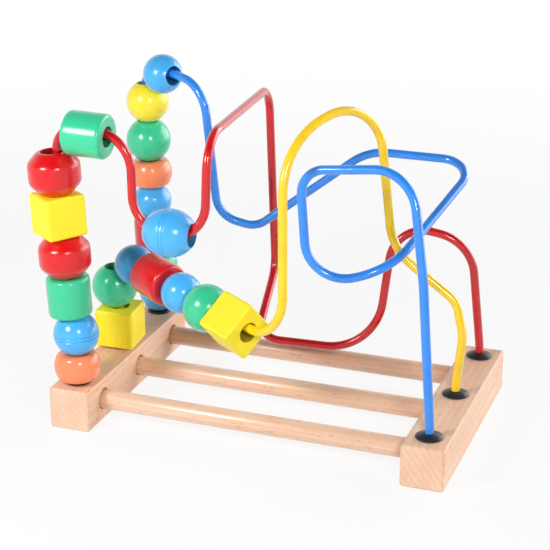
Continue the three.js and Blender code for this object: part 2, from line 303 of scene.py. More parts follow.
@dataclass(frozen=True)
class Lacquer:
    """Gloss paint on turned wood, with the fibres just telling through and painted shade in the
    bore.

    The bore is in millimetres, waves are for each metre, and the relief is in metres.
    """

    paint: Paint
    bore: float
    roughness: float = 0.34
    unevenness: float = 0.1
    coat: float = 1.0
    coat_roughness: float = 0.21
    specular: float = 0.15
    fibres_across: float = 760.0
    fibres_along: float = 70.0
    fibre_detail: float = 4.0
    mottle_waves: float = 42.0
    peel_waves: float = 260.0
    peel_detail: float = 1.0
    fibre_share: float = 0.6
    tone_range: tuple[float, float] = (0.34, 0.66)
    shades: tuple[float, float] = (0.95, 1.02)
    bore_edge: tuple[float, float] = (-0.2, 0.5)
    # Painted shade: the share of the paint colour left inside the bore, which darkens the bore
    # where shade falls.
    bore_painted_shade: float = 0.4
    bore_dullness: float = 0.3
    fibre_relief: float = 0.45
    relief_depth: float = 0.000006

    def material(self, name: str) -> bpy.types.Material:
        """Makes the paint.

        Args:
            name: The material's name.

        Returns:
            The material, to be used with the bore along the piece's own Z axis.
        """
        material, sheet = new_sheet(name)
        place = sheet.place()
        waves = (self.fibres_across, self.fibres_across, self.fibres_along)
        fibres = sheet.noise(place, waves, self.fibre_detail)
        mottle = sheet.noise(place, (self.mottle_waves,) * 3)
        peel = sheet.noise(place, (self.peel_waves,) * 3, self.peel_detail)
        tone = self.fibre_share * fibres + (1 - self.fibre_share) * mottle
        dull, bright = (linear(self.paint.value, shade) for shade in self.shades)
        coloured = sheet.mix(tone.between(*self.tone_range), dull, bright)
        x = sheet.node("ShaderNodeSeparateXYZ", None, {0: place}, output="X")
        y = x.sister("Y")
        radius = (x * x + y * y) ** 0.5
        # Painted shade: inside the bore the paint is mixed towards a darker copy of itself,
        # standing in for the shade that falls there. The bore also loses its coat and gets rougher.
        near, far = ((self.bore / 2 + edge) * MM for edge in self.bore_edge)
        inside = 1.0 - radius.between(near, far)
        colour = sheet.mix(inside, coloured, linear(self.paint.value, self.bore_painted_shade))
        roughness = mottle.about(self.roughness, self.unevenness) + self.bore_dullness * inside
        height = self.fibre_relief * fibres + (1 - self.fibre_relief) * peel
        sheet.surface({
            "Base Color": colour,
            "Roughness": roughness,
            "Normal": sheet.relief(height, self.relief_depth),
            "Specular IOR Level": self.specular,
            "Coat Weight": self.coat * (1.0 - inside),
            "Coat Roughness": self.coat_roughness,
        })
        return material


@dataclass(frozen=True)
class Satin(Lacquer):
    """The duller paint of the cubes."""

    roughness: float = 0.45
    coat: float = 0.12
    coat_roughness: float = 0.2


@dataclass(frozen=True)
class Beech:
    """Pale sanded beech: growth rings, fine fibres and short brown flecks.

    Lengths are in metres, and waves are for each metre along the fibres and across them.
    """

    grain: Grain
    pith: tuple[float, float] = (-0.085, -0.06)
    ring_pitch: float = 0.0042
    sway: float = 0.006
    roughness: float = 0.5
    fibre_dullness: float = 0.12
    varnish: float = 0.15
    varnish_roughness: float = 0.3
    pale: int = 0xF9D2B6
    warm: int = 0xF2C5A5
    late: int = 0xE2B391
    fibre: int = 0xDAA884
    fleck: int = 0xA56A45
    drift_waves: tuple[float, float] = (4.0, 26.0)
    fibre_waves: tuple[float, float] = (38.0, 1100.0)
    fleck_waves: tuple[float, float] = (160.0, 1250.0)
    cloud_waves: tuple[float, float] = (9.0, 40.0)
    late_range: tuple[float, float] = (-0.2, 1.0)
    fibre_range: tuple[float, float] = (0.42, 0.7)
    fleck_range: tuple[float, float] = (0.66, 0.74)
    cloud_range: tuple[float, float] = (0.3, 0.7)
    late_share: float = 0.32
    fibre_share: float = 0.3
    fleck_share: float = 0.55
    fleck_sink: float = 0.7
    relief_depth: float = 0.00006

    def noise(
        self, sheet: Sheet, place: Term, waves: tuple[float, float], detail: float = 2.0
    ) -> Term:
        """Adds noise that is drawn out along the fibres.

        Args:
            sheet: The sheet that it is added to.
            place: The point on the surface.
            waves: Waves for each metre along the fibres and across them.
            detail: How many finer layers the noise has.

        Returns:
            The noise, from 0 to 1.
        """
        along, across = waves
        by_axis = [across] * 3
        by_axis[self.grain.value] = along
        return sheet.noise(place, by_axis, detail)

    def material(self, name: str) -> bpy.types.Material:
        """Makes the wood.

        Args:
            name: The material's name.

        Returns:
            The material, whose rings run through the solid.
        """
        material, sheet = new_sheet(name)
        place = sheet.place()
        height = sheet.node("ShaderNodeSeparateXYZ", None, {0: place}, output="Z")
        side = height.sister("Y" if self.grain is Grain.ALONG_X else "X") - self.pith[0]
        rise = height - self.pith[1]
        drift = self.noise(sheet, place, self.drift_waves)
        distance = (side * side + rise * rise) ** 0.5 + self.sway * drift
        phase = distance * (2 * math.pi / self.ring_pitch)
        rings = phase.combine("SINE", phase).between(*self.late_range)
        fibres = self.noise(sheet, place, self.fibre_waves, 3.0)
        flecks = self.noise(sheet, place, self.fleck_waves, 1.0).between(*self.fleck_range)
        cloud = self.noise(sheet, place, self.cloud_waves).between(*self.cloud_range)
        colour = sheet.mix(cloud, linear(self.pale), linear(self.warm))
        colour = sheet.mix(self.late_share * rings, colour, linear(self.late))
        streaks = self.fibre_share * fibres.between(*self.fibre_range)
        colour = sheet.mix(streaks, colour, linear(self.fibre))
        colour = sheet.mix(self.fleck_share * flecks, colour, linear(self.fleck))
        sheet.surface({
            "Base Color": colour,
            "Roughness": self.roughness + self.fibre_dullness * fibres,
            "Normal": sheet.relief(fibres - self.fleck_sink * flecks, self.relief_depth),
            "Coat Weight": self.varnish,
            "Coat Roughness": self.varnish_roughness,
        })
        return material


@dataclass(frozen=True)
class Coating:
    """Smooth plastic coat on wire, with a slight unevenness."""

    colour: int
    roughness: float = 0.28
    unevenness: float = 0.12
    specular: float = 0.3
    gloss: float = 0.9
    gloss_roughness: float = 0.05
    cloud_waves: float = 70.0
    cloud_range: tuple[float, float] = (0.3, 0.7)
    shades: tuple[float, float] = (0.94, 1.04)

    def material(self, name: str) -> bpy.types.Material:
        """Makes the coat.

        Args:
            name: The material's name.

        Returns:
            The material.
        """
        material, sheet = new_sheet(name)
        cloud = sheet.noise(sheet.place(), (self.cloud_waves,) * 3)
        dull, bright = (linear(self.colour, shade) for shade in self.shades)
        sheet.surface({
            "Base Color": sheet.mix(cloud.between(*self.cloud_range), dull, bright),
            "Roughness": cloud.about(self.roughness, self.unevenness),
            "Specular IOR Level": self.specular,
            "Coat Weight": self.gloss,
            "Coat Roughness": self.gloss_roughness,
        })
        return material


@dataclass(frozen=True)
class Moulding:
    """Black moulded plastic with a fine grain."""

    colour: int = 0x1D1D22
    roughness: float = 0.36
    unevenness: float = 0.12
    grain_waves: float = 1500.0
    grain_detail: float = 1.0
    cloud_waves: float = 90.0
    shades: tuple[float, float] = (0.8, 1.3)
    relief_depth: float = 0.00003

    def material(self, name: str) -> bpy.types.Material:
        """Makes the plastic.

        Args:
            name: The material's name.

        Returns:
            The material.
        """
        material, sheet = new_sheet(name)
        place = sheet.place()
        grain = sheet.noise(place, (self.grain_waves,) * 3, self.grain_detail)
        cloud = sheet.noise(place, (self.cloud_waves,) * 3)
        dark, light = (linear(self.colour, shade) for shade in self.shades)
        sheet.surface({
            "Base Color": sheet.mix(cloud, dark, light),
            "Roughness": cloud.about(self.roughness, self.unevenness),
            "Normal": sheet.relief(grain, self.relief_depth),
        })
        return material


@dataclass(frozen=True)
class Corner:
    """A corner of a turned outline and the length that it is softened over, in millimetres."""

    radius: float
    height: float
    soft: float = 0.0

    def point(self) -> Vector:
        """The corner as a point of the outline."""
        return Vector((self.radius, self.height))


def mirrored(corners: Sequence[Corner]) -> list[Corner]:
    """The corners turned upside down, in the opposite order."""
    return [Corner(corner.radius, -corner.height, corner.soft) for corner in reversed(corners)]


def softened(corners: Sequence[Corner]) -> list[Vector]:
    """Rounds the soft corners of a closed outline.

    Args:
        corners: The outline's corners in order.

    Returns:
        The points of the rounded outline, in millimetres.
    """
    points: list[Vector] = []
    for index, corner in enumerate(corners):
        here = corner.point()
        if not corner.soft:
            points.append(here)
            continue
        behind = corners[index - 1].point()
        ahead = corners[(index + 1) % len(corners)].point()
        first = here + (behind - here).normalized() * corner.soft
        last = here + (ahead - here).normalized() * corner.soft
        for step in range(SOFT_STEPS + 1):
            share = step / SOFT_STEPS
            points.append(first.lerp(here, share).lerp(here.lerp(last, share), share))
    return points


def smooth(mesh: bpy.types.Mesh) -> bpy.types.Mesh:
    """Shades a mesh smooth between its sharp edges.

    Args:
        mesh: The mesh, which is changed.

    Returns:
        The same mesh.
    """
    mesh.shade_smooth()
    mesh.set_sharp_from_angle(angle=SHARP_ANGLE)
    return mesh


def rings_mesh(name: str, rings: np.ndarray, closed: bool) -> bpy.types.Mesh:
    """Skins rings of points with quads.

    Args:
        name: The mesh's name.
        rings: The points, by ring and by place in the ring, in metres.
        closed: Whether the last ring joins the first; otherwise both ends get a cap.

    Returns:
        The smooth mesh.
    """
    count, sides = rings.shape[:2]
    faces: list[list[int]] = []
    for ring in range(count if closed else count - 1):
        here, there = ring * sides, ((ring + 1) % count) * sides
        for side in range(sides):
            after = (side + 1) % sides
            faces.append([here + side, here + after, there + after, there + side])
    if not closed:
        faces.append(list(range(sides))[::-1])
        faces.append([(count - 1) * sides + side for side in range(sides)])
    mesh = bpy.data.meshes.new(name)
    mesh.from_pydata(rings.reshape(-1, 3).tolist(), [], faces)
    mesh.validate()
    return smooth(mesh)


def turned(name: str, outline: Sequence[Vector], closed: bool = True) -> bpy.types.Mesh:
    """Turns an outline about the Z axis.

    Args:
        name: The mesh's name.
        outline: Points of radius and height, in millimetres, from low to high on the outside.
        closed: Whether the outline closes on itself round a bore.

    Returns:
        The turned mesh, in metres.
    """
    angles = np.arange(TURNED_SIDES) * 2 * math.pi / TURNED_SIDES
    circle = np.stack([np.cos(angles), np.sin(angles), np.zeros(TURNED_SIDES)], axis=1)
    rings = [circle * point.x + np.array([0.0, 0.0, point.y]) for point in outline]
    return rings_mesh(name, np.array(rings) * MM, closed)


def rounded_box(size: Vector, edge: float) -> bpy.types.Mesh:
    """Makes a box round the origin with rounded edges.

    Args:
        size: Its sides, in metres.
        edge: The radius of its edges, in metres.

    Returns:
        The mesh.
    """
    build = bmesh.new()
    bmesh.ops.create_cube(build, size=1.0)
    bmesh.ops.scale(build, vec=size, verts=build.verts)
    bmesh.ops.bevel(
        build, geom=build.edges[:], offset=edge, segments=BEVEL_STEPS, profile=0.5, affect="EDGES"
    )
    mesh = bpy.data.meshes.new("box")
    build.to_mesh(mesh)
    build.free()
    return mesh


def carved(name: str, body: bpy.types.Mesh, cutters: Sequence[bpy.types.Mesh]) -> bpy.types.Mesh:
    """Cuts bores out of a mesh.

    Args:
        name: The new mesh's name.
        body: The mesh that is cut.
        cutters: Closed meshes of the bores.

    Returns:
        The cut mesh, with its flat faces shaded flat.
    """
    scene = bpy.context.scene.collection.objects
    target = bpy.data.objects.new("carving", smooth(body))
    tools = [bpy.data.objects.new("cutter", cutter) for cutter in cutters]
    for item in [target, *tools]:
        scene.link(item)
    for tool in tools:
        cut = target.modifiers.new("bore", "BOOLEAN")
        cut.operation = "DIFFERENCE"
        cut.solver = "EXACT"
        cut.object = tool
    target.modifiers.new("shading", "WEIGHTED_NORMAL").keep_sharp = True
    graph = bpy.context.evaluated_depsgraph_get()
    mesh = bpy.data.meshes.new_from_object(target.evaluated_get(graph))
    mesh.name = name
    for item in [target, *tools]:
        bpy.data.objects.remove(item)
    return mesh


def through_bore(diameter: float, length: float, flare: float) -> bpy.types.Mesh:
    """Makes a cutter for a bore along Z, through a piece round the origin, with eased mouths.

    Args:
        diameter: The bore's diameter, in millimetres.
        length: The distance between the faces that it meets.
        flare: How far the mouths are eased.

    Returns:
        The cutter, which stands out past both faces.
    """
    radius, half = diameter / 2, length / 2
    outline = [
        Vector((radius + 2 * flare, -half - flare)),
        Vector((radius, -half + flare)),
        Vector((radius, half - flare)),
        Vector((radius + 2 * flare, half + flare)),
    ]
    return turned("bore", outline, closed=False)


def blind_bore(steps: Sequence[tuple[float, float]], flare: float) -> bpy.types.Mesh:
    """Makes a cutter for a blind bore that goes down from the origin and narrows in steps.

    Args:
        steps: The diameter and the depth of each step, from the mouth down, in millimetres.
        flare: How far the mouth is eased.

    Returns:
        The cutter, which stands out over the mouth.
    """
    mouth = steps[0][0] / 2
    outline = [Vector((mouth + 2 * flare, flare)), Vector((mouth, -flare))]
    for index, (diameter, depth) in enumerate(steps):
        if index:
            outline.append(Vector((diameter / 2, -steps[index - 1][1])))
        outline.append(Vector((diameter / 2, -depth)))
    return turned("bore", outline[::-1], closed=False)


def finish_piece(
    name: str,
    mesh: bpy.types.Mesh,
    material: bpy.types.Material,
    place: Matrix,
    node: str,
    body: str,
) -> None:
    """Puts a dressed mesh in the scene in the place of a CAD node.

    Args:
        name: The piece's name.
        mesh: Its mesh.
        material: Its finish.
        place: Where it stands in the frame.
        node: The CAD node that it stands for.
        body: The CAD body that it rides on.
    """
    mesh.materials.clear()
    mesh.materials.append(material)
    piece = bpy.data.objects.new(name, mesh)
    bpy.context.scene.collection.objects.link(piece)
    piece.matrix_world = place
    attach(piece, body)
    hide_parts(node)
    LOG.info("%s stands for %s on %s", name, node, body)


def middle(node: str) -> Vector:
    """The middle of a CAD node's box, in metres."""
    low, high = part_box(node)
    return (low + high) / 2


def extent(node: str) -> Vector:
    """The sides of a CAD node's box, in metres."""
    low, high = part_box(node)
    return high - low


def base_centre() -> Vector:
    """The point on the underside midway between the blocks, in metres."""
    centre = (middle("left_block") + middle("right_block")) / 2
    return Vector((centre.x, centre.y, 0.0))


@dataclass
class Base:
    """The beech blocks and dowels and the black collars. Sizes are in millimetres."""

    block_edge: float = 2.0
    dowel_bore: float = 15.4
    dowel_drop: float = 0.4
    dowel_chamfer: float = 1.0
    dowel_round: float = 0.3
    collar_bore: float = 6.8
    collar_shank: float = 10.0
    collar_depth: float = 9.0
    collar_brim: float = 1.0
    collar_lip: float = 0.6
    shank_soft: float = 0.5
    brim_soft: float = 0.25
    dome_soft: float = 0.3
    mouth_drop: float = 0.1
    shank_bore: float = 10.6
    wire_bore: float = 6.8
    wire_depth: float = 20.0
    gap: float = 0.3
    flare: float = 0.25
    rows: tuple[str, ...] = ("front", "middle", "rear")
    sides: tuple[str, ...] = ("left", "right")

    def build(self) -> None:
        """Builds and dresses every piece of the base."""
        wood = Beech(Grain.ALONG_Y).material("block_beech")
        rod_wood = Beech(
            Grain.ALONG_X,
            pith=(-0.02, -0.031),
            ring_pitch=0.0035,
            roughness=0.38,
            varnish=1.0,
            varnish_roughness=0.24,
        )
        rod = rod_wood.material("dowel_beech")
        black = Moulding().material("black_moulding")
        for side in self.sides:
            self.block(side, wood)
        for row in self.rows:
            self.dowel(row, rod)
        for side in self.sides:
            for row in self.rows:
                self.collar(side, row, black)

    def block(self, side: str, wood: bpy.types.Material) -> None:
        """Makes one end block with its blind bores.

        Args:
            side: The end that it stands at.
            wood: Its finish.
        """
        node = f"{side}_block"
        cutters = []
        for row in self.rows:
            cutters += [self.dowel_hole(side, row), self.wire_hole(side, row)]
        mesh = carved(node, rounded_box(extent(node), self.block_edge * MM), cutters)
        place = Matrix.Translation(middle(node))
        finish_piece(f"{node}_beech", mesh, wood, place, node, BASE_BODY)

    def dowel_hole(self, side: str, row: str) -> bpy.types.Mesh:
        """Makes the cutter for the bore that a dowel lies in.

        Args:
            side: The block's end.
            row: The dowel's row.

        Returns:
            The cutter, placed from the block's middle.
        """
        rod = f"{row}_dowel"
        centre, size = middle(f"{side}_block"), extent(f"{side}_block")
        low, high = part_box(rod)
        inward, end = (1, low.x) if side == "left" else (-1, high.x)
        depth = abs(centre.x + inward * size.x / 2 - end) / MM
        bore = blind_bore([(self.dowel_bore, depth + self.gap)], self.flare)
        bore.transform(Matrix.Rotation(inward * math.pi / 2, 4, "Y"))
        lift = (self.dowel_bore * MM - extent(rod).z) / 2 - self.dowel_drop * MM
        shift = middle(rod) - centre
        bore.transform(Matrix.Translation((inward * size.x / 2, shift.y, shift.z + lift)))
        return bore

    def wire_hole(self, side: str, row: str) -> bpy.types.Mesh:
        """Makes the cutter for the stepped bore of a collar's shank and a wire's foot.

        Args:
            side: The block's end.
            row: The collar's row.

        Returns:
            The cutter, placed from the block's middle.
        """
        shank = (self.shank_bore, self.collar_depth)
        foot = (self.wire_bore, self.wire_depth + self.gap)
        bore = blind_bore([shank, foot], self.flare)
        shift = middle(f"{side}_{row}_collar") - middle(f"{side}_block")
        bore.transform(Matrix.Translation((shift.x, shift.y, extent(f"{side}_block").z / 2)))
        return bore

    def dowel(self, row: str, wood: bpy.types.Material) -> None:
        """Makes one dowel with eased ends.

        Args:
            row: The row that it lies in.
            wood: Its finish.
        """
        node = f"{row}_dowel"
        size = extent(node) / MM
        reach, radius, ease = size.x / 2, size.z / 2, self.dowel_chamfer
        slight = self.dowel_round * ease
        outline = [
            Vector((radius - ease, -reach)),
            Vector((radius - slight, slight - reach)),
            Vector((radius, ease - reach)),
            Vector((radius, reach - ease)),
            Vector((radius - slight, reach - slight)),
            Vector((radius - ease, reach)),
        ]
        mesh = turned(node, outline, closed=False)
        mesh.transform(Matrix.Rotation(math.pi / 2, 4, "Y"))
        place = Matrix.Translation(middle(node))
        finish_piece(f"{node}_beech", mesh, wood, place, node, BASE_BODY)

    def collar(self, side: str, row: str, black: bpy.types.Material) -> None:
        """Makes one domed collar with the shank in its block.

        Args:
            side: The block that it sits in.
            row: The row that it sits in.
            black: Its finish.
        """
        node = f"{side}_{row}_collar"
        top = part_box(f"{side}_block")[1].z
        rise = (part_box(node)[1].z - top) / MM
        rim = extent(node).x / MM / 2
        hole, shank = self.collar_bore / 2, self.collar_shank / 2
        crown = rise - self.collar_brim
        curve = (rim * rim + crown * crown) / (2 * crown)
        floor = self.gap - self.collar_depth
        corners = [
            Corner(hole, floor),
            Corner(shank, floor, self.shank_soft),
            Corner(shank, self.gap),
            Corner(rim, self.gap, self.brim_soft),
        ]
        steps = ARC_STEPS // 2
        for step in range(steps):
            radius = rim + (hole + self.collar_lip - rim) * step / steps
            height = rise - curve + math.sqrt(curve * curve - radius * radius)
            corners.append(Corner(radius, height, 0.0 if step else self.dome_soft))
        corners.append(Corner(hole, rise - self.mouth_drop, self.brim_soft))
        mesh = turned(node, softened(corners))
        place = Matrix.Translation((middle(node).x, middle(node).y, top))
        finish_piece(f"{node}_moulded", mesh, black, place, node, BASE_BODY)


@dataclass(frozen=True)
class Bend:
    """A corner of a wire, from the middle of the base, and its bend radius, in millimetres."""

    x: float
    y: float
    z: float
    radius: float

    def point(self) -> Vector:
        """The corner as a point."""
        return Vector((self.x, self.y, self.z))

    def arc(self, before: Vector, after: Vector) -> list[tuple[Vector, Vector]]:
        """Rounds the corner between two other points of the line.

        Args:
            before: The point that the line comes from.
            after: The point that the line goes to.

        Returns:
            The points of the arc, each with the way that the line goes there.
        """
        here = self.point()
        back = (before - here).normalized()
        ahead = (after - here).normalized()
        half = back.angle(ahead) / 2
        centre = here + (back + ahead).normalized() * self.radius / math.sin(half)
        spoke = here + back * (self.radius / math.tan(half)) - centre
        lead = -back * self.radius
        sweep = math.pi - 2 * half
        steps = max(2, math.ceil(math.degrees(sweep) / WIRE_DEGREES))
        places = []
        for step in range(steps + 1):
            turn = sweep * step / steps
            point = centre + spoke * math.cos(turn) + lead * math.sin(turn)
            going = (lead * math.cos(turn) - spoke * math.sin(turn)).normalized()
            places.append((point, going))
        return places


@dataclass
class Wire:
    """One coated wire: straight runs joined by an arc at each corner. Sizes are in millimetres."""

    paint: Paint
    coat: int
    start_row: int
    bends: tuple[Bend, ...]
    diameter: float = 6.2
    depth: float = 20.0
    spacing: float = 70.0
    foot_height: float = 8.0
    foot_radius: float = 60.0

    def route(self) -> list[Vector]:
        """Lays out the centre line, from the middle of the base.

        Returns:
            Its points, close together on the arcs, and only those that lead on.
        """
        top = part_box("left_block")[1].z / MM
        reach = (middle("right_block").x - middle("left_block").x) / MM / 2
        side = self.start_row * self.spacing
        foot, low = top + self.foot_height, top - self.depth
        corners = [
            Bend(-reach, side, foot, self.foot_radius),
            *self.bends,
            Bend(reach, -side, foot, self.foot_radius),
        ]
        end = Vector((reach, -side, low))
        targets = [*(corner.point() for corner in corners[1:]), end]
        points = [Vector((-reach, side, low))]
        for corner, target in zip(corners, targets):
            for point, going in corner.arc(points[-1], target):
                if (point - points[-1]).dot(going) > WIRE_LEAST:
                    points.append(point)
        return [*points, end]

    def mesh(self, name: str) -> bpy.types.Mesh:
        """Makes the wire's round tube.

        Args:
            name: The mesh's name.

        Returns:
            The tube, in metres.
        """
        points = self.route()
        angles = np.arange(WIRE_SIDES) * 2 * math.pi / WIRE_SIDES
        side = Vector((1.0, 0.0, 0.0))
        rings = []
        for index, point in enumerate(points):
            before = points[max(0, index - 1)]
            after = points[min(len(points) - 1, index + 1)]
            heading = ((point - before).normalized() + (after - point).normalized()).normalized()
            side = (side - heading * side.dot(heading)).normalized()
            other = heading.cross(side)
            circle = np.outer(np.cos(angles), side) + np.outer(np.sin(angles), other)
            rings.append(np.array(point) + circle * self.diameter / 2)
        return rings_mesh(name, np.array(rings) * MM, closed=False)

    def build(self) -> None:
        """Builds and dresses the wire."""
        node = f"{self.paint.word}_wire"
        slot = f"{self.paint.word}_coating"
        material = Coating(self.coat).material(slot)
        place = Matrix.Translation(base_centre())
        finish_piece(f"{node}_coated", self.mesh(node), material, place, node, BASE_BODY)


RED_WIRE = Wire(Paint.RED, 0xCF0A16, -1, (
    Bend(-136.5, -70, 216, 16),
    Bend(-81.5, -70, 215.5, 26),
    Bend(-81, -70, 148.5, 25),
    Bend(-29.5, -70, 148.5, 25),
    Bend(-26.5, -70, 218.5, 23),
    Bend(-42.5, 88, 213, 20),
    Bend(-37.5, 88, 72, 22),
    Bend(-32.5, 34, 36, 17),
    Bend(55.5, 46, 33, 40),
    Bend(63.5, 62, 129, 25),
    Bend(118.5, 69, 118, 32),
))
YELLOW_WIRE = Wire(Paint.YELLOW, 0xFFD215, 0, (
    Bend(-126, -2, 105, 13),
    Bend(32.5, -90, 88, 26),
    Bend(23, -64, 219.5, 52),
    Bend(65.5, 2, 242, 36),
    Bend(77, 8, 129, 38),
    Bend(123.5, 8, 96, 19),
    Bend(130.5, 2, 74, 25),
))
BLUE_WIRE = Wire(Paint.BLUE, 0x2B8CF2, 1, (
    Bend(-134.5, 70, 227.5, 18),
    Bend(-75, 40, 222.5, 25),
    Bend(-65.5, 42, 125, 22),
    Bend(-38.5, 50, 117, 17),
    Bend(38, 76, 175.5, 40),
    Bend(119, 78, 175, 20),
    Bend(87, -35, 128.5, 43),
    Bend(34, -45, 115.5, 26),
    Bend(28, -45, 195.5, 18),
    Bend(105, -50, 205.5, 29),
    Bend(119.5, -68, 137, 53),
))


@dataclass(frozen=True)
class Ball:
    """A turned ball, long when its length is over its diameter. Sizes are in millimetres."""

    diameter: float
    length: float
    bore: float = 14.0
    lip: float = 0.7
    mouth_soft: float = 0.56

    def at(self, angle: float) -> Corner:
        """The point of the round outline at an angle over its middle."""
        return Corner(self.diameter / 2 * math.cos(angle), self.length / 2 * math.sin(angle))

    def arc(self, low: float, high: float, steps: int) -> list[Corner]:
        """Points of the round outline between two angles over its middle."""
        return [self.at(low + (high - low) * step / steps) for step in range(steps + 1)]

    def lift(self) -> float:
        """The angle over the middle at which the bore begins."""
        return math.acos(self.bore / self.diameter)

    def rim(self) -> float:
        """The height of the bore's mouths over the middle."""
        return self.length / 2 * math.sin(self.lift())

    def outside(self) -> list[Corner]:
        """The outline between the bore's mouths, from low to high."""
        reach = self.lift() - 2 * self.lip / self.diameter
        return self.arc(-reach, reach, ARC_STEPS)

    def mesh(self, name: str) -> bpy.types.Mesh:
        """Turns the bead.

        Args:
            name: The mesh's name.

        Returns:
            The bead with its bore along Z.
        """
        high = Corner(self.bore / 2, self.rim(), self.mouth_soft)
        return turned(name, softened([*mirrored([high]), *self.outside(), high]))


@dataclass(frozen=True)
class FlatBall(Ball):
    """A ball cut flat at both ends to its length, with rounded shoulders."""

    shoulder: float = 2.2
    shoulder_reach: float = 5.72
    land: float = 1.05

    def outside(self) -> list[Corner]:
        """Lays out the belly between the two flat ends.

        Returns:
            The outline between the bore's mouths, from low to high.
        """
        radius, half = self.diameter / 2, self.length / 2
        reach = math.asin(half / radius)
        edge = reach - self.shoulder_reach / self.diameter
        belly = Ball(self.diameter, self.diameter).arc(-edge, edge, ARC_STEPS)
        shoulder = Corner(radius * math.cos(reach), half, self.shoulder)
        high = [shoulder, Corner(self.bore / 2 + self.land, half)]
        return [*mirrored(high), *belly, *high]

    def rim(self) -> float:
        """The height of the bore's mouths over the middle."""
        return self.length / 2


@dataclass(frozen=True)
class RingedBall(Ball):
    """A ball with a pair of grooves turned round its middle."""

    bore: float = 16.0
    ring_pitch: float = 2.6
    ring_width: float = 1.4
    ring_depth: float = 0.7
    ring_soft: float = 0.25
    ring_floor: float = 0.3
    ring_margin: float = 0.5

    def groove(self, height: float) -> list[Corner]:
        """Lays out one groove.

        Args:
            height: The height of its floor.

        Returns:
            Its three corners, from low to high.
        """
        half = self.ring_width / 2
        places = (
            (height - half, 0.0, self.ring_soft),
            (height, self.ring_depth, self.ring_floor),
            (height + half, 0.0, self.ring_soft),
        )
        corners = []
        for level, depth, soft in places:
            radius = self.diameter / 2 * math.sqrt(1 - (2 * level / self.length) ** 2)
            corners.append(Corner(radius - depth, level, soft))
        return corners

    def outside(self) -> list[Corner]:
        """Lays out the round with its two grooves.

        Returns:
            The outline between the bore's mouths, from low to high.
        """
        reach = self.lift() - 2 * self.lip / self.diameter
        clear = self.ring_pitch + self.ring_width + 2 * self.ring_margin
        edge = math.asin(clear / self.length)
        grooves = self.groove(-self.ring_pitch / 2) + self.groove(self.ring_pitch / 2)
        steps = ARC_STEPS // 2
        return self.arc(-reach, -edge, steps) + grooves + self.arc(edge, reach, steps)


@dataclass(frozen=True)
class Roller:
    """A cylinder with rounded ends. Sizes are in millimetres."""

    diameter: float = 30.5
    length: float = 28.5
    edge: float = 3.0
    bore: float = 14.0
    lip: float = 0.7

    def mesh(self, name: str) -> bpy.types.Mesh:
        """Turns the bead.

        Args:
            name: The mesh's name.

        Returns:
            The bead with its bore along Z.
        """
        half = self.length / 2
        upper = [Corner(self.diameter / 2, half, self.edge), Corner(self.bore / 2, half, self.lip)]
        return turned(name, softened([*mirrored(upper), *upper]))


@dataclass(frozen=True)
class Drum:
    """A straight band with a wide bevel above and below. Sizes are in millimetres."""

    diameter: float = 36.0
    length: float = 29.5
    band: float = 14.0
    end: float = 22.0
    bore: float = 16.0
    lip: float = 0.6
    edge: float = 2.6

    def mesh(self, name: str) -> bpy.types.Mesh:
        """Turns the bead.

        Args:
            name: The mesh's name.

        Returns:
            The bead with its bore along Z.
        """
        half = self.length / 2
        upper = [
            Corner(self.diameter / 2, self.band / 2, self.edge),
            Corner(self.end / 2, half, self.edge),
            Corner(self.bore / 2, half, self.lip),
        ]
        return turned(name, softened([*mirrored(upper), *upper]))


@dataclass(frozen=True)
class Cube:
    """A cube with rounded edges and a round bore. Sizes are in millimetres."""

    size: float = 29.0
    edge: float = 2.0
    bore: float = 14.0
    lip: float = 0.4

    def mesh(self, name: str) -> bpy.types.Mesh:
        """Makes the bead of the name, with its bore along Z."""
        body = rounded_box(Vector((self.size, self.size, self.size)) * MM, self.edge * MM)
        return carved(name, body, [through_bore(self.bore, self.size, self.lip)])


Form = Ball | Roller | Drum | Cube


def seat_of(node: str) -> Matrix:
    """Reads where a bead sits from its CAD node.

    Args:
        node: The bead's CAD node.

    Returns:
        A matrix with the bead's bore along Z and its flattest side, if any, along X.
    """
    mesh = frame["nodes"][node].data
    points = np.unique(np.round([vertex.co[:] for vertex in mesh.vertices], WELD_DIGITS), axis=0)
    centre = points.mean(axis=0)
    spread, ways = np.linalg.eigh(np.cov((points - centre).T))
    odd = 0 if spread[1] - spread[0] > spread[2] - spread[1] else 2
    axis = Vector(ways[:, odd])
    if axis.x + axis.z < 0:
        axis.negate()
    sides = [face for face in mesh.polygons if abs(face.normal.dot(axis)) < SIDE_LIMIT]
    side = max(sides, key=attrgetter("area")).normal
    side = (side - axis * side.dot(axis)).normalized()
    turn = Matrix((side, axis.cross(side), axis)).transposed().to_4x4()
    return Matrix.Translation(Vector(centre)) @ turn


@dataclass(frozen=True)
class Bead:
    """One bead: its CAD node, which is also its body, its colour and its form."""

    node: str
    paint: Paint
    form: Form

    def build(self) -> None:
        """Builds, dresses and seats the bead, with satin paint on a cube and gloss on the rest."""
        kind = Satin if isinstance(self.form, Cube) else Lacquer
        material = kind(self.paint, self.form.bore).material(f"{self.node}_lacquer")
        mesh = self.form.mesh(self.node)
        name, slot = f"{self.node}_lacquered", f"{self.paint.word}_lacquer"
        finish_piece(name, mesh, material, seat_of(self.node), self.node, self.node)


BLUE_BALL = Ball(29.0, 29.0)
GREEN_BALL = Ball(33.5, 33.5)
YELLOW_BALL = Ball(32.0, 32.0)
FLAT_BALL = FlatBall(32.5, 19.8)

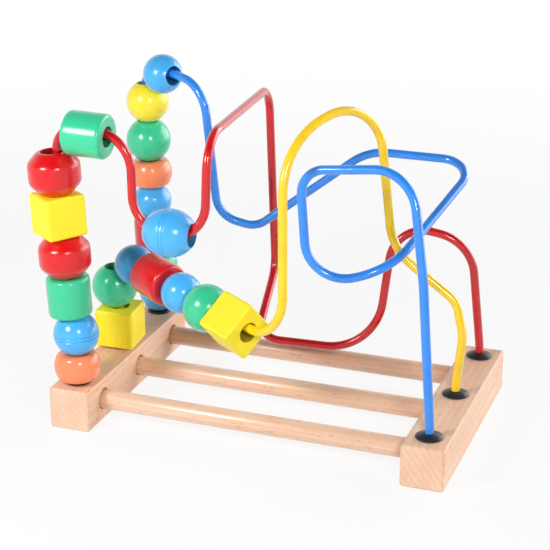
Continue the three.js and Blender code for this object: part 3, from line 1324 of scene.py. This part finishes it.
BEADS = (
    Bead("front_orange_bead", Paint.ORANGE, FLAT_BALL),
    Bead("front_blue_bead", Paint.BLUE, RingedBall(32.0, 32.0)),
    Bead("front_green_bead", Paint.GREEN, Roller()),
    Bead("front_lower_red_bead", Paint.RED, Drum()),
    Bead("front_yellow_cube", Paint.YELLOW, Cube()),
    Bead("front_upper_red_bead", Paint.RED, Drum()),
    Bead("arch_green_bead", Paint.GREEN, Roller()),
    Bead("valley_blue_bead", Paint.BLUE, RingedBall(33.0, 38.0)),
    Bead("middle_yellow_cube", Paint.YELLOW, Cube()),
    Bead("middle_green_bead", Paint.GREEN, GREEN_BALL),
    Bead("slope_upper_blue_bead", Paint.BLUE, BLUE_BALL),
    Bead("slope_red_bead", Paint.RED, Roller()),
    Bead("slope_lower_blue_bead", Paint.BLUE, BLUE_BALL),
    Bead("slope_green_bead", Paint.GREEN, GREEN_BALL),
    Bead("slope_yellow_cube", Paint.YELLOW, Cube()),
    Bead("rear_lower_blue_bead", Paint.BLUE, BLUE_BALL),
    Bead("rear_lower_green_bead", Paint.GREEN, FLAT_BALL),
    Bead("rear_red_bead", Paint.RED, Roller()),
    Bead("rear_middle_blue_bead", Paint.BLUE, BLUE_BALL),
    Bead("rear_orange_bead", Paint.ORANGE, FLAT_BALL),
    Bead("rear_upper_green_bead", Paint.GREEN, GREEN_BALL),
    Bead("rear_yellow_bead", Paint.YELLOW, YELLOW_BALL),
    Bead("rear_top_blue_bead", Paint.BLUE, BLUE_BALL),
)


@dataclass(frozen=True)
class Lamp:
    """A square soft light that looks at the toy, in metres from the middle of the base."""

    name: str
    place: tuple[float, float, float]
    size: float
    power: float

    def build(self, target: Vector) -> None:
        """Adds the lamp.

        Args:
            target: The point that it looks at.
        """
        data = bpy.data.lights.new(self.name, "AREA")
        data.shape = "SQUARE"
        data.size = self.size
        data.energy = self.power
        lamp = bpy.data.objects.new(self.name, data)
        lamp.visible_camera = False
        bpy.context.scene.collection.objects.link(lamp)
        lamp.location = base_centre() + Vector(self.place)
        lamp.rotation_euler = (target - lamp.location).to_track_quat("-Z", "Y").to_euler()


@dataclass
class Studio:
    """The camera, the lamps and the white ground, with lengths in metres.

    The camera's values come from a fit to the photograph.
    """

    target: tuple[float, float, float] = (-0.011255, 0.015337, 0.095247)
    distance: float = 1.15575
    azimuth: float = 20.092
    elevation: float = 21.034
    focal_share: float = 1617.573 / 550
    sensor: float = 36.0
    ground: float = 8.0
    ground_shade: float = 0.9
    shadow_share: float = 0.13
    shadow_fade: tuple[float, float] = (0.35, 1.1)
    daylight: float = 0.5
    zenith: float = 0.2
    zenith_rise: tuple[float, float] = (0.3, 0.9)
    front: float = 0.2
    front_depth: tuple[float, float] = (-0.5, 0.2)
    front_rise: tuple[float, float] = (0.17, 0.35)
    lamps: tuple[Lamp, ...] = (
        Lamp("left_softbox", (-0.33, -0.52, 0.44), 0.15, 2.7),
        Lamp("right_softbox", (0.44, -0.72, 0.52), 0.17, 3.2),
        Lamp("rear_softbox", (1.15, 1.2, 0.36), 1.8, 34.0),
    )

    def build(self) -> None:
        """Adds the camera, the lamps, the ground and the surrounding light."""
        target = base_centre() + Vector(self.target)
        self.camera(target)
        for lamp in self.lamps:
            lamp.build(target)
        self.floor()
        self.surroundings()
        bpy.context.scene.view_settings.view_transform = "Standard"

    def camera(self, target: Vector) -> None:
        """Adds the camera.

        Args:
            target: The point in the middle of the picture.
        """
        data = bpy.data.cameras.new("camera")
        data.sensor_width = self.sensor
        data.lens = self.sensor * self.focal_share
        camera = bpy.data.objects.new("camera", data)
        bpy.context.scene.collection.objects.link(camera)
        turn, tilt = math.radians(self.azimuth), math.radians(self.elevation)
        level = Vector((math.sin(turn), -math.cos(turn), 0.0)) * math.cos(tilt)
        back = level + Vector((0.0, 0.0, math.sin(tilt)))
        camera.location = target + back * self.distance
        camera.rotation_euler = (-back).to_track_quat("-Z", "Y").to_euler()
        bpy.context.scene.camera = camera

    def seen(self, sheet: Sheet) -> Term:
        """Finds the rays that show the white of the background.

        Args:
            sheet: The sheet that the nodes are added to.

        Returns:
            A share that is 1 for the camera, a reflection or a clear piece, and 0 for other light.
        """
        straight = sheet.node("ShaderNodeLightPath", output="Is Camera Ray")
        total = straight + straight.sister("Is Glossy Ray") + straight.sister("Is Transmission Ray")
        return total.combine("MINIMUM", total, 1.0)

    def floor(self) -> None:
        """Adds the white ground, which keeps a soft share of the shadow."""
        half = self.ground / 2
        corners = [(-half, -half, 0), (half, -half, 0), (half, half, 0), (-half, half, 0)]
        mesh = bpy.data.meshes.new("ground")
        mesh.from_pydata(corners, [], [(0, 1, 2, 3)])
        ground = bpy.data.objects.new("ground", mesh)
        bpy.context.scene.collection.objects.link(ground)
        material, sheet = new_sheet("white_ground")
        shade = (self.ground_shade,) * 3 + (1.0,)
        matt = sheet.node("ShaderNodeBsdfDiffuse", None, {"Color": shade})
        glow = sheet.node("ShaderNodeEmission", None, {"Color": WHITE, "Strength": 1.0})
        away = {"operation": "LENGTH"}
        far = sheet.node("ShaderNodeVectorMath", away, {0: sheet.place()}, output="Value")
        glowing = 1.0 - self.shadow_share * (1.0 - far.between(*self.shadow_fade))
        share = glowing * self.seen(sheet)
        mixed = sheet.node("ShaderNodeMixShader", None, {0: share, 1: matt, 2: glow})
        sheet.node("ShaderNodeOutputMaterial", None, {"Surface": mixed})
        mesh.materials.append(material)

    def surroundings(self) -> None:
        """Adds the light from all round, dimmer overhead and in front, white to the camera."""
        world = bpy.data.worlds.new("white_studio")
        world.use_nodes = True
        sheet = Sheet(world.node_tree)
        heading = sheet.node("ShaderNodeTexCoord", output="Generated")
        rise = sheet.node("ShaderNodeSeparateXYZ", None, {0: heading}, output="Z")
        ahead = 1.0 - rise.sister("Y").between(*self.front_depth)
        in_front = 1.0 - (1.0 - self.front) * (ahead * rise.between(*self.front_rise))
        overhead = 1.0 - (1.0 - self.zenith) * rise.between(*self.zenith_rise)
        shown = self.daylight + (1.0 - self.daylight) * self.seen(sheet)
        sockets = {"Color": WHITE, "Strength": shown * (overhead * in_front)}
        light = sheet.node("ShaderNodeBackground", None, sockets)
        sheet.node("ShaderNodeOutputWorld", None, {"Surface": light})
        bpy.context.scene.world = world


def main() -> None:
    """Builds the studio and the toy in order."""
    logging.basicConfig(level=logging.INFO, format="%(name)s: %(message)s")
    Studio().build()
    Base().build()
    for wire in (RED_WIRE, YELLOW_WIRE, BLUE_WIRE):
        wire.build()
    for bead in BEADS:
        bead.build()


if __name__ == "__main__":
    main()
